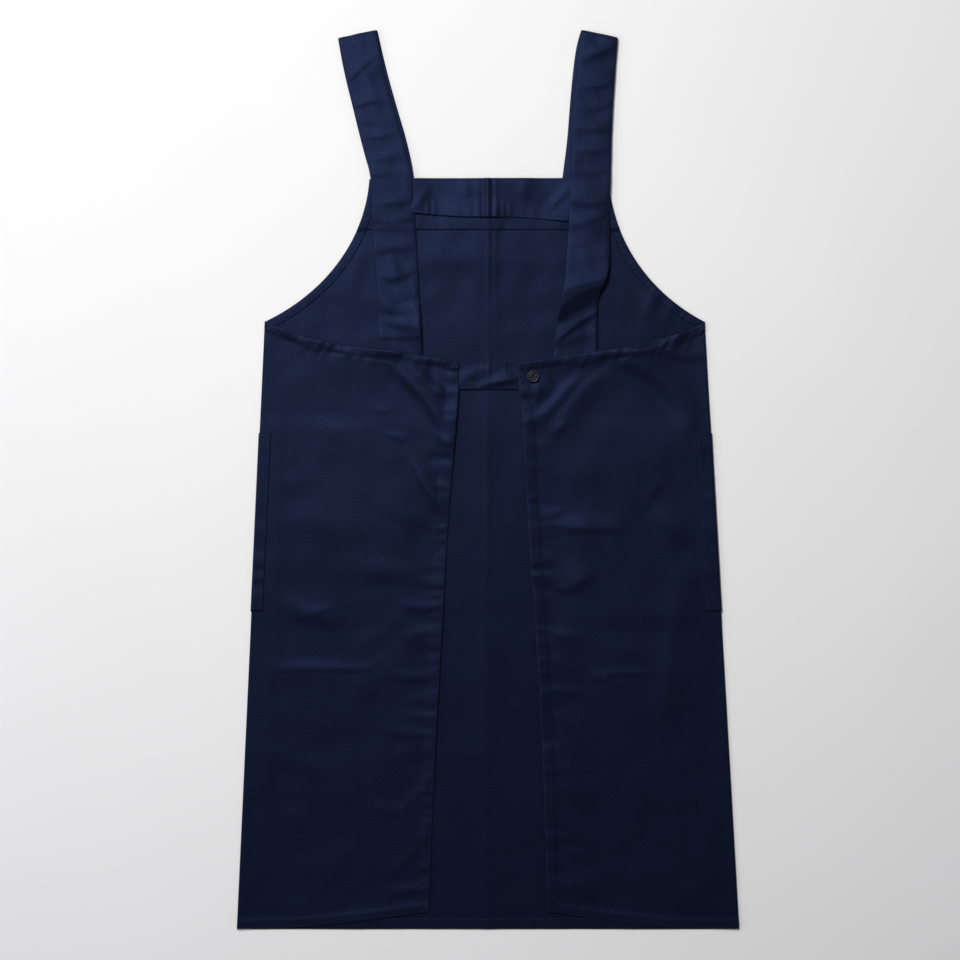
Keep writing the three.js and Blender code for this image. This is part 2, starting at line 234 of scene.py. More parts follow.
# Lighter navy of the painted highlight along the fold edges.
TWILL_EDGE_HIGHLIGHT = "#161c30"
twill = twill_material("navy_cotton_twill", 0.33)
satin = twill_material("pressed_navy_twill", 0.36)


def smooth_step(value, start, end):
    share = np.clip((value - start) / (end - start), 0, 1)
    return share * share * (3 - 2 * share)


def bump_at(value, centre, width):
    return np.exp(-(((value - centre) / width) ** 2))


def crumple(x, y, size, seed, squeeze=1.0):
    """Soft unevenness of about plus or minus 1, in waves near size long; squeeze shortens them in y."""
    order = np.random.default_rng(seed)
    total = 0
    waves = 12
    for _ in range(waves):
        heading = order.uniform(0, math.pi)
        length = size * order.uniform(0.7, 1.7)
        phase = order.uniform(0, 2 * math.pi)
        run = x * math.cos(heading) + y * squeeze * math.sin(heading)
        total = total + np.sin(run * 2 * math.pi / length + phase)
    return total / math.sqrt(waves / 2)


def rounded(path, times=2):
    """The same path with its corners cut off, ready to be drawn as a soft line."""
    points = np.array(path, float)
    for _ in range(times):
        cut = [points[0]]
        for a, b in zip(points[:-1], points[1:]):
            cut += [a * 0.75 + b * 0.25, a * 0.25 + b * 0.75]
        points = np.array([*cut, points[-1]])
    return points


def fold(x, y, path, height, left, right):
    """A ridge in the cloth along a path, left and right wide to its two sides, fading at both ends."""
    points = rounded(path)
    steps = np.hypot(*(points[1:] - points[:-1]).T)
    along = np.concatenate([[0], np.cumsum(steps)])
    nearest = np.full(x.shape, 1e9)
    offset = np.zeros(x.shape)
    share = np.zeros(x.shape)
    for i, (a, b) in enumerate(zip(points[:-1], points[1:])):
        run = b - a
        t = ((x - a[0]) * run[0] + (y - a[1]) * run[1]) / steps[i] ** 2
        inside = np.clip(t, 0, 1)
        gap = np.hypot(x - a[0] - inside * run[0], y - a[1] - inside * run[1])
        side = np.sign(run[0] * (y - a[1]) - run[1] * (x - a[0]))
        closer = gap < nearest
        nearest = np.where(closer, gap, nearest)
        offset = np.where(closer, gap * side, offset)
        share = np.where(closer, (along[i] + inside * steps[i]) / along[-1], share)
    taper = np.sin(math.pi * np.clip(share * 0.9 + 0.05, 0, 1)) ** 0.8
    width = np.where(offset > 0, left, right)
    return height * taper * np.exp(-((offset / width) ** 2))


def with_folds(z, x, y, folds):
    """The height z with folds added: each is a path, a height and its left and right widths."""
    for path, height, left, right in folds:
        z = z + fold(x, y, path, height, left, right)
    return z


def pucker(along, away, pitch, depth, reach, seed):
    """Gathers beside a seam: short ripples across it, uneven, that die out within reach."""
    order = np.random.default_rng(seed)
    drift = 0
    swell = 0
    for k in (2.3, 3.7, 5.9):
        drift = drift + np.sin(along * 2 * math.pi / (pitch * k) + order.uniform(0, 6.3))
        swell = swell + np.sin(along * 2 * math.pi / (pitch * k * 1.4) + order.uniform(0, 6.3))
    wave = np.sin(2 * math.pi * along / pitch + 1.1 * drift) * (0.62 + 0.22 * swell)
    return depth * wave * np.exp(-((away / reach) ** 2))


EDGE_GAP = 0.9  # from the last line of an edge's turn to the next line of the sheet
EDGE_REACH = 16.0  # how far from an edge the lines are closer together


def turned_edge(radius, depth):
    """Stations across an edge that is folded under: (distance in from the edge, drop below the top)."""
    under = [(radius + d, 2 * radius) for d in np.arange(depth - radius, 0.1, -1.6)]
    turn = np.radians([180, 150, 120, 90, 60, 30])
    bend = [(radius - radius * math.sin(a), radius - radius * math.cos(a)) for a in turn]
    return under + bend


def stations(length, start, end, step, fine=1.7):
    """Distances 0 to length with the turns of both edges, fine steps beside them, wider between."""

    def inwards(edge):
        points = [edge[-1][0] + EDGE_GAP]
        while points[-1] < length / 2:
            points.append(points[-1] + (fine if points[-1] < EDGE_REACH else step))
        return points[:-1]

    middle = inwards(start) + [length - d for d in reversed(inwards(end))]
    far_edge = [(length - d, drop) for d, drop in reversed(end)]
    return start + [(d, 0.0) for d in middle] + far_edge


def piece_of(mesh, name, material):
    """A smooth shaded mesh as an object of the scene, with its material."""
    mesh.polygons.foreach_set("use_smooth", np.ones(len(mesh.polygons), bool))
    mesh.materials.append(material)
    piece = bpy.data.objects.new(name, mesh)
    scene.collection.objects.link(piece)
    return piece


def cloth_grid(name, across, along, place, material=None):
    """A sheet of cloth: one grid with a line at each station, a (distance, drop) pair in mm.
    place gives x, y, z, the weave's flat coordinates and the painted highlight of the fold edges at each
    crossing of two lines."""
    bm = bmesh.new()
    bmesh.ops.create_grid(bm, x_segments=len(across) - 1, y_segments=len(along) - 1, size=0.5)
    mesh = mesh_from(bm, name)
    spots = np.empty(len(mesh.vertices) * 3, np.float32)
    mesh.vertices.foreach_get("co", spots)
    spots = spots.reshape(-1, 3)
    column = np.rint((spots[:, 0] + 0.5) * (len(across) - 1)).astype(int)
    row = np.rint((spots[:, 1] + 0.5) * (len(along) - 1)).astype(int)
    across = np.array(across, float)[column]
    along = np.array(along, float)[row]
    x, y, z, s, t, edge_highlight = place(across[:, 0], along[:, 0], across[:, 1] + along[:, 1])
    mesh.vertices.foreach_set("co", (np.stack([x, y, z], 1) / 1000).astype(np.float32).ravel())
    corner = np.empty(len(mesh.loops), int)
    mesh.loops.foreach_get("vertex_index", corner)
    weave = mesh.uv_layers.new(name="weave")
    weave.data.foreach_set("uv", (np.stack([s, t], 1)[corner] / 1000).astype(np.float32).ravel())
    shade = mesh.attributes.new("edge_highlight", "FLOAT", "POINT")
    shade.data.foreach_set("value", np.broadcast_to(edge_highlight, x.shape).astype(np.float32))
    mesh.update()
    return piece_of(mesh, name, material or twill)


def thicken(piece, thickness=CLOTH):
    layer = piece.modifiers.new("cloth_thickness", "SOLIDIFY")
    layer.thickness = thickness / 1000
    layer.offset = 0.0
    layer.use_rim = True
    return piece


def armhole_curve(side, count=60):
    """The cut edge of an armhole, from the bib's corner down to its foot."""
    reach = SIDE_FOOT[side] - BIB_CORNER[side]
    depth = BIB_TOP_Y - FOOT_Y
    t = np.linspace(0, 1, count)
    x = BIB_CORNER[side] + reach * (3 * t * (1 - t) ** 2 * 0.04 + 3 * t**2 * (1 - t) * 0.43 + t**3)
    y = BIB_TOP_Y - depth * (3 * t * (1 - t) ** 2 * 0.43 + 3 * t**2 * (1 - t) * 0.80 + t**3)
    return x * side, y


def side_line(side, y):
    """X of the side fold at height y of the skirt."""
    share = (y - HEM_Y) / (FOOT_Y - HEM_Y)
    return side * (SIDE_HEM + (SIDE_FOOT[side] - SIDE_HEM) * share)


def outline_x(side, y):
    """X of the front panel's edge: side fold below the armhole's foot, armhole above it."""
    ax, ay = armhole_curve(side)
    return np.where(y < FOOT_Y, side_line(side, y), np.interp(y, ay[::-1], ax[::-1]))


def over_pocket(x, y):
    """1 where the cloth lies on a pocket leaf, 0 elsewhere, with a soft edge."""
    inside = smooth_step(np.abs(x), POCKET_INNER - 26, POCKET_INNER - 2)
    above = smooth_step(y, POCKET_FOOT - 26, POCKET_FOOT - 2)
    return inside * above * (1 - smooth_step(y, POCKET_TOP + 2, POCKET_TOP + 26))


FRONT_FOLDS = [
    ([(-70, 268), (-20, 260), (40, 266), (80, 262)], 0.9, 22, 14),
    ([(-165, 215), (-158, 250), (-150, 285)], 0.6, 8, 12),
    ([(188, 190), (196, 215), (205, 232)], 1.1, 7, 9),
    ([(212, 186), (216, 200), (224, 212)], 0.7, 5, 6),
    ([(160, 205), (168, 240)], 0.7, 9, 9),
]


def front_height(x, y):
    """Middle of the front panel's thickness above the table."""
    z = 0.4 + 0.75 * over_pocket(x, y)
    z = z + 0.55 * bump_at(x, -1 + 1.5 * np.sin(y / 170), 2.2) + 0.5 * bump_at(x, 0, 16)
    z = z + 0.35 * bump_at(x, 9, 3) * smooth_step(y, 120, 190)
    soft = 0.22 * (1 + crumple(x, y, 120, 3)) + 0.12 * (1 + crumple(x, y, 38, 4))
    bib = smooth_step(y, 150, 200)
    return with_folds(z + soft * (0.7 + 0.9 * bib), x, y, FRONT_FOLDS)


HEM_TURN = 13.0
front_rows = [(HEM_Y + d, rise) for d, rise in turned_edge(0.42, HEM_TURN)]
front_rows += [(y, 0.0) for y in np.arange(HEM_Y + 2, FOOT_Y - 12, 4.0)]
front_rows += [(y, 0.0) for y in np.linspace(FOOT_Y - 12, BIB_TOP_Y - 0.5, 74)]


def lay_front(share, y, rise):
    """The front panel, whose hem rises over it instead of dropping under it."""
    tuck = np.where(y < FOOT_Y, FOLD_RADIUS, 0.6)
    left = outline_x(-1, y) + tuck
    right = outline_x(1, y) - tuck
    x = left + (right - left) * share
    z = front_height(x, y) + rise + 0.12 * (rise > 0)
    z = np.maximum(z + pucker(x, y - HEM_Y - HEM_TURN, 17, 0.22, 12, 8), 0.28)
    return x, y, z, x, y - 2 * np.where(rise > 0.5, y - HEM_Y, 0), 0.0


front_columns = [(share, 0.0) for share in np.linspace(0, 1, 150)]
front_panel = cloth_grid("front_panel_cloth", front_columns, front_rows, lay_front)
thicken(front_panel)
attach(front_panel, "garment")
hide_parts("front_panel")

# ----------------------------------------
# Facings: a deep one of the same twill inside the top of the bib, its lower edge turned under and
# stitched, and a narrow one round each armhole that finishes the cut edge.
FACING_EDGE_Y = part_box("bib_facing")[0].y * 1000 + 1
EDGE_RADIUS = 0.45


def facing_height(x, y):
    """Top layer of the bib's facing, over the front panel."""
    loose = 0.25 * (1 + crumple(x, y, 45, 12))
    return front_height(x, y) + 1.5 + loose


def lay_facing(share, y, drop):
    left = outline_x(-1, y) + 3.5
    right = outline_x(1, y) - 3.5
    x = left + (right - left) * share
    z = facing_height(x, y) - drop + pucker(x, y - FACING_EDGE_Y, 14, 0.16, 9, 13)
    groove = 0.3 * bump_at(y, FACING_EDGE_Y + 1.8, 0.9) * (drop < EDGE_RADIUS)
    return x, y, z - groove, x, y - 2 * np.where(drop > EDGE_RADIUS, y - FACING_EDGE_Y, 0), 0.0


facing_rows = [(FACING_EDGE_Y + d, drop) for d, drop in turned_edge(EDGE_RADIUS, 8.0)]
facing_rows += [(y, 0.0) for y in np.linspace(FACING_EDGE_Y + 1.0, BIB_TOP_Y - 1.5, 30)]
facing_columns = [(share, 0.0) for share in np.linspace(0, 1, 110)]
bib_facing = thicken(cloth_grid("bib_facing_cloth", facing_columns, facing_rows, lay_facing))
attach(bib_facing, "garment")
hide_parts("bib_facing")


def armhole_place(side, inset, share):
    """A point at a distance in from an armhole's edge, at a share of the way down it."""
    ax, ay = armhole_curve(side, 120)
    run = np.concatenate([[0], np.cumsum(np.hypot(np.diff(ax), np.diff(ay)))])
    spot = share * run[-1]
    x, y = np.interp(spot, run, ax), np.interp(spot, run, ay)
    dx, dy = np.interp(spot, run, np.gradient(ax, run)), np.interp(spot, run, np.gradient(ay, run))
    long = np.hypot(dx, dy)
    return x + side * dy / long * inset, y - side * dx / long * inset, spot


def armhole_height(side, x, y, inset, spot):
    over_facing = 1.25 * smooth_step(y, FACING_EDGE_Y - 3, FACING_EDGE_Y + 1)
    wave = pucker(spot, inset - 8, 9, 0.16, 5, 20 + side)
    return front_height(x, y) + 1.25 + over_facing + wave - 0.25 * bump_at(inset, 8.0, 0.9)


for side, word in SIDES:

    def lay_armhole(inset, share, drop, side=side):
        x, y, spot = armhole_place(side, inset, share)
        z = np.maximum(armhole_height(side, x, y, inset, spot) - drop, 0.3)
        # The last value is a painted highlight along the armhole facing's turned edge.
        return x, y, z, spot, inset, 0.35 * bump_at(inset, 0.5, 0.8)

    columns = turned_edge(0.6, 0.0) + [(d, 0.0) for d in np.arange(1.5, 9.6, 1.1)]
    columns += [(9.9, 0.15), (10.1, 0.5)]
    rows = [(share, 0.0) for share in np.linspace(0, 1, 130)]
    armhole_facing = cloth_grid(f"armhole_facing_{word}_cloth", columns, rows, lay_armhole)
    thicken(armhole_facing, 0.45)
    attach(armhole_facing, "garment")
    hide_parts(f"armhole_facing_{word}")

# ----------------------------------------
# Back panels: they run on from the front panel round the side folds. Hems are turned under and
# stitched at the top, down the opening and round the foot, which gathers the cloth beside them.
# The skirt part of each could fold open about a crease from below the tab to the foot of the side; here it
# lies flat, and the crease's joint is read but not used.
BACK_TOP = {
    -1: [
        *[(-267.5, 189), (-241, 177.5), (-215, 169), (-187, 163)],
        *[(-152, 158), (-82, 149.5), (-52, 143.5), (-36, 139)],
    ],
    1: [
        *[(259.5, 187), (252, 181), (211, 167.5), (174, 159.5)],
        *[(146, 154.5), (119, 151), (62, 143), (36, 139)],
    ],
}
BACK_OPENING = {
    -1: [
        *[(-71, -518), (-65, -355), (-56, -203), (-48, -49)],
        *[(-39.5, 51), (-35.5, 95), (-35, 109), (-36, 139)],
    ],
    1: [
        *[(71, -517), (67.5, -376), (59, -205), (48.5, -67)],
        *[(43, 38), (39.5, 95), (37, 105), (36, 139)],
    ],
}
BACK_FOOT = {
    -1: [(-301, -538.5), (-218, -536), (-172, -531), (-86, -520.5), (-71, -518)],
    1: [(301, -538.5), (205, -536), (151, -529), (97, -522.5), (71, -517)],
}
HEM_RADIUS = 0.6
TOP_HEM = 10.0
OPENING_HEM = 10.0
FOOT_HEM = 13.0
PANEL_WIDTH = 228.0
PANEL_LENGTH = 690.0
TAIL_SPAN = {-1: (-131.5, -78.5), 1: (78.5, 131)}
TAB_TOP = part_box("waist_tab")[1].y * 1000
TAB_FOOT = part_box("waist_tab")[0].y * 1000
TAB_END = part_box("waist_tab")[1].x * 1000

# Drape folds; their left and right are those of a walker along the path.
BACK_FOLDS = {
    -1: [
        ([(-226, 168), (-180, 154), (-140, 142), (-112, 132)], 2.2, 10, 26),
        ([(-118, 140), (-95, 117), (-74, 97), (-57, 68), (-49, 40)], 4.6, 16, 6),
        ([(-100, 139), (-82, 125), (-64, 108), (-47, 92)], 2.6, 8, 5),
        ([(-92, 30), (-80, 0), (-66, -22), (-54, -40)], 3.0, 11, 6),
        ([(-62, 56), (-52, 44), (-41, 44)], 1.6, 4, 4),
        ([(-125, 56), (-108, 50), (-96, 50)], 0.9, 4, 3),
        ([(-66, -7), (-56, -6), (-46, -7)], 1.2, 4, 3),
        ([(-252, -227), (-191, -225), (-146, -229), (-128, -216)], 0.9, 5, 3),
        ([(-225, -165), (-203, -159), (-180, -150)], 0.7, 6, 4),
        ([(-148, -197), (-124, -181), (-105, -165)], 0.9, 12, 8),
        ([(-105, -151), (-73, -155), (-60, -152)], 1.2, 7, 5),
        ([(-98, -190), (-73, -182), (-60, -178)], 1.0, 7, 5),
        ([(-118, -232), (-89, -239), (-64, -235)], 1.3, 7, 5),
        ([(-126, -302), (-89, -306), (-66, -302)], 0.9, 8, 5),
        ([(-100, -394), (-83, -378), (-70, -358)], 1.0, 8, 6),
        ([(-116, -473), (-89, -447), (-73, -418)], 1.2, 9, 7),
        ([(-126, -502), (-97, -491), (-73, -487)], 0.9, 7, 5),
        ([(-140, 86), (-128, 82), (-116, 82)], 0.7, 5, 3),
        ([(-230, 50), (-205, 20), (-190, -40), (-170, -90)], 0.9, 26, 18),
        ([(-253, 100), (-256, -60), (-262, -240), (-270, -420)], 1.0, 10, 16),
    ],
    1: [
        ([(236, 168), (200, 156), (164, 149), (128, 144)], 2.0, 18, 7),
        ([(137, 150), (184, 138), (216, 110), (236, 84), (243, 58)], 3.4, 22, 9),
        ([(172, 154), (206, 158), (238, 146), (256, 150)], 2.0, 8, 6),
        ([(150, 134), (124, 116), (100, 90), (72, 50)], 2.2, 16, 7),
        ([(112, 124), (96, 112), (80, 92), (66, 78), (52, 74)], 2.6, 10, 5),
        ([(58, 118), (60, 104), (56, 90)], 1.4, 5, 4),
        ([(96, 70), (86, 62), (78, 52)], 1.2, 5, 4),
        ([(52, -46), (72, -44), (94, -36)], 1.0, 6, 4),
        ([(52, -58), (77, -54), (104, -58), (155, -57)], 1.5, 10, 4),
        ([(59, -66), (90, -62), (130, -62), (167, -60)], 0.6, 4, 3),
        ([(56, -118), (85, -131), (102, -130), (128, -110)], 1.3, 9, 5),
        ([(60, -180), (88, -187), (112, -190)], 1.1, 7, 5),
        ([(124, -239), (152, -233), (199, -233)], 1.1, 6, 3),
        ([(136, -238), (150, -243), (167, -243)], 0.9, 3, 4),
        ([(64, -249), (88, -254), (114, -257)], 1.0, 7, 5),
        ([(72, -396), (100, -415), (128, -450)], 1.4, 12, 9),
        ([(72, -433), (100, -446), (128, -456)], 1.1, 8, 6),
        ([(232, -110), (223, -165), (216, -228), (214, -290)], 1.3, 18, 12),
        ([(185, -35), (199, -11), (215, 4)], 0.8, 9, 5),
        ([(199, -35), (222, -59), (238, -76)], 0.8, 7, 5),
        ([(84, -300), (96, -350), (120, -400)], 1.0, 16, 10),
    ],
}


def edge_value(points, value, known=0):
    """The other coordinate of a softly rounded edge line where one coordinate is known."""
    line = rounded(points)
    order = np.argsort(line[:, known])
    return np.interp(value, line[order, known], line[order, 1 - known])


def back_edges(side, x, y):
    """Distances in from a back panel's side fold, opening, top edge and foot."""
    return (
        np.abs(side_line(side, y)) - np.abs(x),
        side * (x - edge_value(BACK_OPENING[side], y, 1)),
        edge_value(BACK_TOP[side], x) - y,
        y - edge_value(BACK_FOOT[side], x),
    )


def back_height(side, x, y):
    """Middle of the upper layer of a back panel."""
    from_side, from_opening, from_top, from_foot = back_edges(side, x, y)
    rest = 1.9
    at_fold = np.exp(-((np.maximum(from_side, 0) / 10) ** 2))
    z = front_height(x, y) + rest + (2 * FOLD_RADIUS - rest) * at_fold
    hems = 1 - smooth_step(np.minimum(from_opening, np.minimum(from_top, from_foot)), 8, 16)
    z = z + 0.9 * hems
    low, high = TAIL_SPAN[side]
    below_top = np.exp(-((np.maximum(from_top - 6, 0) / 13) ** 2))
    on_tail = smooth_step(x, low - 22, low) * (1 - smooth_step(x, high, high + 16)) * below_top
    beside_tab = (1 - smooth_step(np.abs(x), 66, 84)) * smooth_step(y, TAB_FOOT - 26, TAB_FOOT) * (side > 0)
    seamed_tab = (1 - smooth_step(np.abs(x), 56, 70)) * smooth_step(y, TAB_FOOT - 20, TAB_FOOT) * (side < 0)
    z = z + np.maximum(1.9 * on_tail, 1.7 * (beside_tab + seamed_tab))
    z = z + 0.5 * bump_at(from_opening, 0, 9) * smooth_step(-y, -90, -40)
    z = z + 3.0 * bump_at(from_opening, 0, 10) * bump_at(y, 80, 24) * (side < 0)
    z = z + pucker(x + 0.7 * from_top, from_top - 5, 6.5, 0.5, 6, 30 + side)
    z = z + pucker(x + 0.5 * from_top, from_top - 7, 19, 0.55, 11, 34 + side)
    z = z - (0.6 + 0.3 * crumple(x, y, 45, 66 + side)) * bump_at(from_top, TOP_HEM + 0.5, 2.4)
    lifted = (1.5 + 0.9 * crumple(x, y, 50, 68 + side)) * bump_at(from_top, 0, 7)
    z = z + lifted * smooth_step(from_side, 8, 30)
    z = z + pucker(y, from_opening - 8, 13, 0.45, 9, 40 + side)
    z = z + pucker(y, from_opening - 12, 33, 0.55, 20, 44 + side)
    z = z - 0.18 * bump_at(from_opening, OPENING_HEM - 1.2, 2.0)
    z = z + pucker(x, from_foot - FOOT_HEM, 15, 0.28, 12, 50 + side)
    z = z - 0.25 * bump_at(from_foot, FOOT_HEM - 1.2, 1.3)
    z = with_folds(z, x, y, BACK_FOLDS[side])
    loose = smooth_step(from_side, 4, 40)
    z = z + loose * (0.5 * crumple(x, y, 170, 60 + side) + 0.16 * crumple(x, y, 60, 62 + side))
    z = z + loose * 0.22 * np.maximum(crumple(x, y, 95, 64 + side, 1.5), 0) ** 2
    return np.maximum(z, front_height(x, y) + 1.3)


def back_grid_place(side, from_fold, from_foot):
    """Where a spot of the panel lies between its four edges."""
    u = from_fold / PANEL_WIDTH
    v = from_foot / PANEL_LENGTH
    side_y = HEM_Y + 0.5 + (FOOT_Y - HEM_Y) * v
    side_x = side_line(side, side_y)
    open_low, open_high = BACK_OPENING[side][0], BACK_OPENING[side][-1]
    open_y = open_low[1] + (open_high[1] - open_low[1]) * v
    open_x = edge_value(BACK_OPENING[side], open_y, 1)
    foot_low, foot_high = BACK_FOOT[side][0], BACK_FOOT[side][-1]
    foot_x = foot_low[0] + (foot_high[0] - foot_low[0]) * u
    foot_y = edge_value(BACK_FOOT[side], foot_x)
    top_low, top_high = BACK_TOP[side][0], BACK_TOP[side][-1]
    top_x = top_low[0] + (top_high[0] - top_low[0]) * u
    top_y = edge_value(BACK_TOP[side], top_x)
    corners = [
        (1 - u) * ((1 - v) * foot_low[i] + v * top_low[i]) + u * ((1 - v) * foot_high[i] + v * top_high[i])
        for i in (0, 1)
    ]
    x = (1 - u) * side_x + u * open_x + (1 - v) * foot_x + v * top_x - corners[0]
    y = (1 - u) * side_y + u * open_y + (1 - v) * foot_y + v * top_y - corners[1]
    return x, y


for side, word in SIDES:
    joint = next(j for j in frame["joints"] if j["name"] == f"{word}_skirt_fold")
    pivot, axis = Vector(joint["pos_m"]), Vector(joint["axis"])
    opening = axis.cross(Vector((0, 0, 1)))
    if opening.x * side > 0:
        opening = -opening

    def lay_back(from_fold, from_foot, drop, side=side):
        x, y = back_grid_place(side, from_fold, from_foot)
        wobble = pucker(y, PANEL_WIDTH - from_fold, 13, 0.35, 10, 40 + side)
        x = x + side * wobble * smooth_step(from_foot, 20, 60)
        z = np.maximum(back_height(side, x, y) - drop, 0.3)
        edge = np.minimum(PANEL_WIDTH - from_fold, np.minimum(from_foot, PANEL_LENGTH - from_foot))
        # The last value is a painted highlight along the panel's hemmed edges.
        return x, y, z, side * from_fold, from_foot, 0.4 * bump_at(edge, 0.6, 1.0)

    hem = turned_edge(HEM_RADIUS, OPENING_HEM)
    columns = stations(PANEL_WIDTH, turned_edge(FOLD_RADIUS, 0.0), hem, 3.0)
    rows = stations(PANEL_LENGTH, turned_edge(HEM_RADIUS, FOOT_HEM), turned_edge(HEM_RADIUS, TOP_HEM), 3.2)
    back_panel = thicken(cloth_grid(f"back_panel_{word}_cloth", columns, rows, lay_back))
    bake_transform(back_panel)
    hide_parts(f"back_panel_{word}", f"back_skirt_{word}")

# ----------------------------------------
# Pockets: a patch of twill on each side of the front. Its outer edge wraps the side fold and is
# stitched to the back panel, so only a narrow strip of it shows on this side.
POCKET_WRAP = {-1: 13.5, 1: 17.0}
POCKET_ROLL = 1.9
POCKET_UNDER = 0.34  # middle of the pocket's thickness where it lies on the table


def strip_height(side, x, y):
    """Middle of the pocket's strip on top of the back panel."""
    return back_height(side, x, y) + 0.75


for side, word in SIDES:
    width = SIDE_HEM - 6 - POCKET_INNER

    def lay_pocket(inset, y, turn, side=side):
        x = side_line(side, y) - side * inset
        over = strip_height(side, x, y) + pucker(y, 0.0, 33, 0.35, 9, 70 + side)
        z = POCKET_UNDER + (over - POCKET_UNDER) * turn
        weave_x = inset * side * np.where(turn > 0.5, -1, 1)
        # The last value is a painted highlight along the pocket's roll over the side fold.
        return x, y, z, weave_x, y, 0.5 * bump_at(inset, -POCKET_ROLL / 2, 1.2)

    leaf = [(d, 0.0) for d in np.arange(width, POCKET_ROLL, -4.0)]
    wrap = []
    for angle in np.radians([20, 45, 70, 90, 110, 135, 160]):
        wrap.append((POCKET_ROLL * (0.45 - math.sin(angle)), (1 - math.cos(angle)) / 2))
    strip = [(d, 1.0) for d in np.linspace(1.2, POCKET_WRAP[side], 12)]
    rows = [(y, 0.0) for y in np.arange(POCKET_FOOT, POCKET_TOP + 1, 2.4)]
    pocket = cloth_grid(f"pocket_{word}_cloth", leaf + wrap + strip, rows, lay_pocket)
    thicken(pocket, 0.6)
    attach(pocket, "garment")
    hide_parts(f"pocket_{word}")

# ----------------------------------------
# Waist tab: a doubled band of twill, edges turned in, sewn under the left back panel and buttoned
# under the right one. Its top edge is gathered a little by the stitching.
TAB_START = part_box("waist_tab")[0].x * 1000
TAB_FOLDS = [
    ([(-12, 111), (12, 116), (40, 122)], 2.6, 8, 3),
    ([(-34, 128), (-14, 122)], 0.5, 4, 4),
]


def tab_height(x, y):
    z = front_height(x, y) + 2.0 + 0.35 * (1 + crumple(x, y, 40, 80, 1.8))
    z = z + pucker(x, TAB_TOP - y - 3, 8, 0.3, 6, 81) + pucker(x, y - TAB_FOOT - 3, 11, 0.18, 6, 82)
    z = z - 0.25 * bump_at(y, TAB_TOP - 3.2, 1.2) - 0.25 * bump_at(y, TAB_FOOT + 3.2, 1.2)
    z = z + 1.5 * smooth_step(y, TAB_FOOT + 4, TAB_TOP) * smooth_step(34 - np.abs(x), 0, 14)
    return with_folds(z, x, y, TAB_FOLDS)


def lay_tab(x, y, drop):
    # The last value is a painted highlight along the tab's turned edges.
    return x, y, tab_height(x, y) - drop, x, y, 0.3 * bump_at(drop, 0.2, 0.3)


tab_hem = turned_edge(0.55, 7.0)
tab_width = TAB_TOP - TAB_FOOT
tab_rows = [(TAB_FOOT + d, drop) for d, drop in stations(tab_width, tab_hem, tab_hem, 1.5, 1.5)]
tab_columns = [(x, 0.0) for x in np.arange(TAB_START, TAB_END + 0.5, 1.5)]
tab = thicken(cloth_grid("waist_tab_cloth", tab_columns, tab_rows, lay_tab))
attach(tab, "garment")
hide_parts("waist_tab")

# ----------------------------------------
# Crossbar: a folded band of the same twill across the top of the bib that keeps the straps apart.
# Its lower edge stands a little off the bib; it is pressed flat at the middle by a double crease.
CROSSBAR_TOP = 361.0
CROSSBAR_DEEP = 46.0
CROSSBAR_FOLDS = [
    ([(-100, 318), (-84, 330), (-70, 352)], 0.7, 6, 5),
    ([(-26, 360), (-27, 350), (-22, 338)], 0.9, 5, 6),
    ([(46, 358), (42, 346), (46, 334)], 1.0, 7, 6),
    ([(98, 350), (84, 336), (72, 322)], 1.1, 5, 6),
]
CROSSBAR_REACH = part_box("crossbar")[1].x * 1000 - 1


def crossbar_low(x):
    return 314.5 - 0.045 * x + 1.2 * np.sin(x / 23)


def crossbar_height(x, y):
    from_low = y - crossbar_low(x)
    end = smooth_step(np.abs(x), 62, 92)
    right = smooth_step(x, 4, 26)
    lifted = (1.9 + 1.4 * bump_at(x, 0, 14)) * bump_at(from_low, 2, 13) * (1 - 0.6 * end)
    z = facing_height(x, y) + 1.0 + 1.5 * end + lifted * (1 - 0.7 * right)
    z = z + 1.7 * right * smooth_step(from_low, 6, 44) * (1 - 0.8 * end)
    z = z + pucker(x, from_low - 6, 13, 0.28, 12, 90) + 0.45 * crumple(x, y, 60, 91, 0.5)
    z = z - 0.9 * bump_at(x, -7, 2.6) + 0.7 * bump_at(x, -1, 3.0) - 0.8 * bump_at(x, 5, 2.4)
    z = with_folds(z, x, y, CROSSBAR_FOLDS)
    return z - 0.25 * bump_at(from_low, 3.2, 1.2) - 0.25 * bump_at(y, CROSSBAR_TOP - 3.2, 1.2)


def lay_crossbar(x, inset, drop):
    low_y = crossbar_low(x)
    y = low_y + (CROSSBAR_TOP - low_y) * inset / CROSSBAR_DEEP
    # The last value is a painted highlight along the crossbar's turned edges.
    return x, y, crossbar_height(x, y) - drop, x, y, 0.35 * bump_at(drop, 0.3, 0.4)


bar_hem = turned_edge(0.8, 9.0)
bar_rows = stations(CROSSBAR_DEEP, bar_hem, bar_hem, 1.6, 1.5)
bar_columns = [(x, 0.0) for x in np.arange(-CROSSBAR_REACH, CROSSBAR_REACH + 0.5, 1.5)]
crossbar = thicken(cloth_grid("crossbar_cloth", bar_columns, bar_rows, lay_crossbar, satin))
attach(crossbar, "garment")
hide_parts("crossbar")

